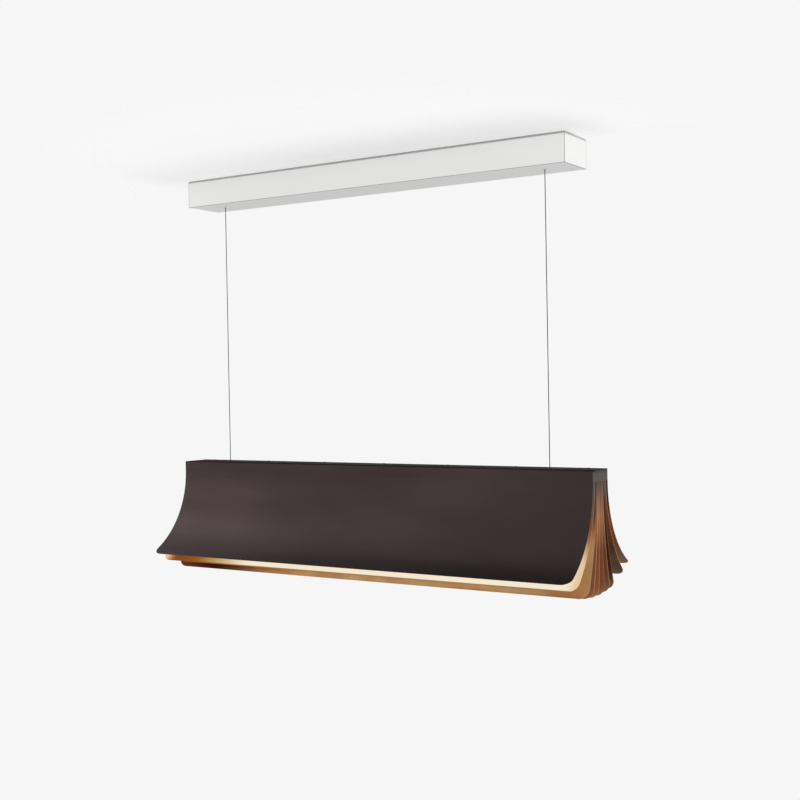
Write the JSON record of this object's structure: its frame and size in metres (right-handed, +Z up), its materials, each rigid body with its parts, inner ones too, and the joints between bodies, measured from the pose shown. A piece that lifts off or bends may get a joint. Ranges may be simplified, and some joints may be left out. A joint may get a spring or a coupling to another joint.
{
  "type": "pendant lamp",
  "caption": "Linear pendant lamp: a fan of curved gold and brown metal leaves with light strips, on two thin wires from a long white ceiling canopy.",
  "frame": {"origin": "middle of the ceiling face of the mounting bracket", "axes": "+X along the lamp to the right end in the picture, -Y to the front, +Z up out of the ceiling face"},
  "size_m": [0.9, 0.267, 0.7848],
  "materials": {
    "canopy_white": "satin",
    "screw_white": "satin",
    "zinc_steel": "satin",
    "nickel_brass": "satin",
    "wire_steel": "satin",
    "socket_white": "matte",
    "bead_plastic": "matte",
    "driver_white": "gloss",
    "terminal_white": "matte",
    "lead_plastic": "matte",
    "spine_bronze": "satin",
    "feed_copper": "satin",
    "leaf_brown": "satin",
    "leaf_gold": "satin",
    "board_white": "matte",
    "diffuser_opal": "satin"
  },
  "bodies": {
    "canopy": {"canopy_cover": "canopy_white", "cover_screws": "screw_white", "cover_standoffs": "zinc_steel", "mounting_bracket": "zinc_steel", "gripper_body_left": "nickel_brass", "gripper_body_right": "nickel_brass", "wire_tail_left": "wire_steel", "wire_tail_right": "wire_steel", "rocker_housings": "socket_white", "led_driver": "driver_white", "terminal_block": "terminal_white", "mains_leads": "lead_plastic", "output_lead_left": "lead_plastic", "output_lead_right": "lead_plastic"},
    "exit_rockers": {"exit_rockers": "bead_plastic"},
    "wire_left": {"suspension_wire_left": "wire_steel"},
    "wire_right": {"suspension_wire_right": "wire_steel"},
    "barrel_left": {"barrel_end_left": "nickel_brass"},
    "barrel_right": {"barrel_end_right": "nickel_brass"},
    "seat_rockers": {"seat_rockers": "bead_plastic"},
    "lamp": {"leaf_front_1": "leaf_brown", "leaf_front_2": "leaf_gold", "leaf_front_3": "leaf_gold", "leaf_front_4": "leaf_gold", "leaf_front_5": "leaf_gold", "leaf_back_1": "leaf_brown", "leaf_back_2": "leaf_gold", "leaf_back_3": "leaf_gold", "leaf_back_4": "leaf_gold", "leaf_back_5": "leaf_gold", "spine_rail": "spine_bronze", "spacer_bar_1": "spine_bronze", "spacer_bar_2": "spine_bronze", "spacer_bar_3": "spine_bronze", "spacer_bar_4": "spine_bronze", "spacer_bar_5": "spine_bronze", "spacer_bar_6": "spine_bronze", "spacer_bar_7": "spine_bronze", "hanger_keys": "zinc_steel", "end_cap_left": "spine_bronze", "end_cap_right": "spine_bronze", "feed_strip_left": "feed_copper", "feed_strip_right": "feed_copper", "led_board_front": "board_white", "led_board_back": "board_white", "diffuser_front": "diffuser_opal", "diffuser_back": "diffuser_opal"},
    "nipple_left": {"release_nipple_left": "nickel_brass"},
    "nipple_right": {"release_nipple_right": "nickel_brass"}
  },
  "joints": [
    {"name": "swing", "type": "hinge", "parent": "canopy", "child": "exit_rockers", "pos_m": [0, 0, -0.046], "axis": [1, 0, 0], "range_deg": [-12, 12]},
    {"name": "sway", "type": "hinge", "parent": "exit_rockers", "child": "wire_left", "pos_m": [-0.357, 0, -0.046], "axis": [0, 1, 0], "range_deg": [-8, 8]},
    {"name": "sway_right", "type": "hinge", "parent": "exit_rockers", "child": "wire_right", "pos_m": [0.357, 0, -0.046], "axis": [0, 1, 0], "range_deg": [-8, 8]},
    {"name": "height", "type": "slide", "parent": "wire_left", "child": "barrel_left", "axis": [0, 0, 1], "range_m": [0, 0.3], "deforming": ["suspension_wire_left"]},
    {"name": "height_right", "type": "slide", "parent": "wire_right", "child": "barrel_right", "axis": [0, 0, 1], "range_m": [0, 0.3], "deforming": ["suspension_wire_right"]},
    {"name": "level", "type": "hinge", "parent": "barrel_left", "child": "seat_rockers", "pos_m": [-0.357, 0, -0.573], "axis": [0, 1, 0], "range_deg": [-8, 8]},
    {"name": "tilt", "type": "hinge", "parent": "seat_rockers", "child": "lamp", "pos_m": [0, 0, -0.573], "axis": [1, 0, 0], "range_deg": [-12, 12]},
    {"name": "release_left", "type": "slide", "parent": "canopy", "child": "nipple_left", "axis": [0, 0, 1], "range_m": [0, 0.002], "stiffness_N_per_m": 800, "springref_m": -0.003},
    {"name": "release_right", "type": "slide", "parent": "canopy", "child": "nipple_right", "axis": [0, 0, 1], "range_m": [0, 0.002], "stiffness_N_per_m": 800, "springref_m": -0.003}
  ],
  "couplings": [
    {"joint": "sway_right", "follows": "sway", "ratio": 1},
    {"joint": "level", "follows": "sway", "ratio": -1},
    {"joint": "height_right", "follows": "height", "ratio": 1}
  ]
}
